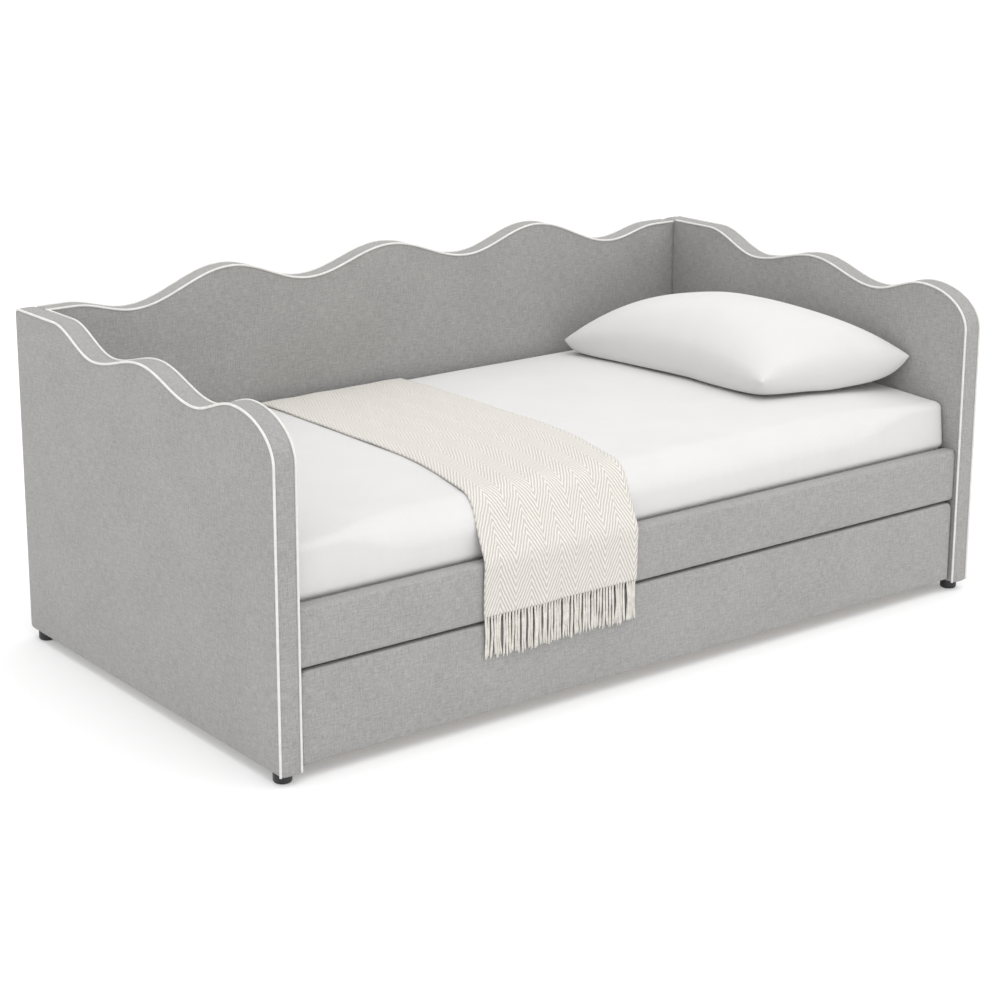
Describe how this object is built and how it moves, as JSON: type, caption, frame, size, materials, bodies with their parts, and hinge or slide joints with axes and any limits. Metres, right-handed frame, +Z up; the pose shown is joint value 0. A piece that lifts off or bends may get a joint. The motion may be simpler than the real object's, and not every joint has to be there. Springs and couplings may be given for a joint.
{
  "type": "trundle daybed",
  "caption": "Upholstered daybed with a scalloped back and arms, contrast piping, a slatted deck with mattress, pillow and throw, and a wheeled slatted trundle that pulls out in front.",
  "frame": {"origin": "on the floor under the centre of the bed's outer box", "axes": "+X along the bed's length, -Y towards its open front, +Z up"},
  "size_m": [2.0294, 1.0947, 0.8375],
  "materials": {
    "grey_fabric": "heathered grey linen-look upholstery",
    "white_piping": "off-white corded piping",
    "foot_plastic": "black moulded plastic",
    "pine_wood": "planed unfinished pine",
    "steel": "zinc-plated pressed steel",
    "wheel_plastic": "dark grey nylon",
    "mattress_cover": "white cotton sheet pulled tight",
    "pillow_cotton": "white percale pillowcase",
    "throw_wool": "cream herringbone knit"
  },
  "bodies": {
    "bed_frame": {"left_arm_panel": "grey_fabric", "right_arm_panel": "grey_fabric", "back_panel": "grey_fabric", "front_rail": "grey_fabric", "left_arm_outer_welt": "white_piping", "left_arm_inner_welt": "white_piping", "right_arm_outer_welt": "white_piping", "right_arm_inner_welt": "white_piping", "back_front_welt": "white_piping", "back_rear_welt": "white_piping", "front_left_foot": "foot_plastic", "back_left_foot": "foot_plastic", "front_right_foot": "foot_plastic", "back_right_foot": "foot_plastic", "front_ledger": "pine_wood", "back_ledger": "pine_wood", "bed_slat_1": "pine_wood", "bed_slat_2": "pine_wood", "bed_slat_3": "pine_wood", "bed_slat_4": "pine_wood", "bed_slat_5": "pine_wood", "bed_slat_6": "pine_wood", "bed_slat_7": "pine_wood", "bed_slat_8": "pine_wood", "bed_slat_9": "pine_wood", "bed_slat_10": "pine_wood", "bed_slat_11": "pine_wood", "left_rail_bracket": "steel", "right_rail_bracket": "steel"},
    "trundle": {"trundle_front": "grey_fabric", "trundle_back_board": "pine_wood", "trundle_left_board": "pine_wood", "trundle_right_board": "pine_wood", "trundle_front_cleat": "pine_wood", "trundle_back_cleat": "pine_wood", "trundle_slat_1": "pine_wood", "trundle_slat_2": "pine_wood", "trundle_slat_3": "pine_wood", "trundle_slat_4": "pine_wood", "trundle_slat_5": "pine_wood", "trundle_slat_6": "pine_wood", "trundle_slat_7": "pine_wood", "trundle_slat_8": "pine_wood", "trundle_slat_9": "pine_wood", "front_left_caster_fork": "steel", "front_left_caster_axle": "steel", "front_right_caster_fork": "steel", "front_right_caster_axle": "steel", "back_left_caster_fork": "steel", "back_left_caster_axle": "steel", "back_right_caster_fork": "steel", "back_right_caster_axle": "steel"},
    "front_left_wheel": {"front_left_caster_wheel": "wheel_plastic"},
    "front_right_wheel": {"front_right_caster_wheel": "wheel_plastic"},
    "back_left_wheel": {"back_left_caster_wheel": "wheel_plastic"},
    "back_right_wheel": {"back_right_caster_wheel": "wheel_plastic"},
    "mattress": {"mattress": "mattress_cover"},
    "pillow": {"pillow": "pillow_cotton"},
    "throw": {"throw": "throw_wool"}
  },
  "joints": [
    {"name": "trundle_slide", "type": "slide", "parent": "bed_frame", "child": "trundle", "axis": [0, -1, 0], "range_m": [0, 0.92]},
    {"name": "front_left_wheel_spin", "type": "hinge", "parent": "trundle", "child": "front_left_wheel", "pos_m": [-0.931, -0.455, 0.025], "axis": [1, 0, 0], "continuous": true},
    {"name": "front_right_wheel_spin", "type": "hinge", "parent": "trundle", "child": "front_right_wheel", "pos_m": [0.931, -0.455, 0.025], "axis": [1, 0, 0], "continuous": true},
    {"name": "back_left_wheel_spin", "type": "hinge", "parent": "trundle", "child": "back_left_wheel", "pos_m": [-0.931, 0.395, 0.025], "axis": [1, 0, 0], "continuous": true},
    {"name": "back_right_wheel_spin", "type": "hinge", "parent": "trundle", "child": "back_right_wheel", "pos_m": [0.931, 0.395, 0.025], "axis": [1, 0, 0], "continuous": true},
    {"name": "mattress_lift", "type": "slide", "parent": "bed_frame", "child": "mattress", "axis": [0, 0, 1], "range_m": [0, 0.6]},
    {"name": "pillow_lift", "type": "slide", "parent": "mattress", "child": "pillow", "axis": [0, 0, 1], "range_m": [0, 0.4]},
    {"name": "throw_lift", "type": "slide", "parent": "mattress", "child": "throw", "axis": [0, 0, 1], "range_m": [0, 0.4]}
  ],
  "couplings": [
    {"joint": "front_left_wheel_spin", "follows": "trundle_slide", "rad_per_m": 40},
    {"joint": "front_right_wheel_spin", "follows": "trundle_slide", "rad_per_m": 40},
    {"joint": "back_left_wheel_spin", "follows": "trundle_slide", "rad_per_m": 40},
    {"joint": "back_right_wheel_spin", "follows": "trundle_slide", "rad_per_m": 40}
  ]
}
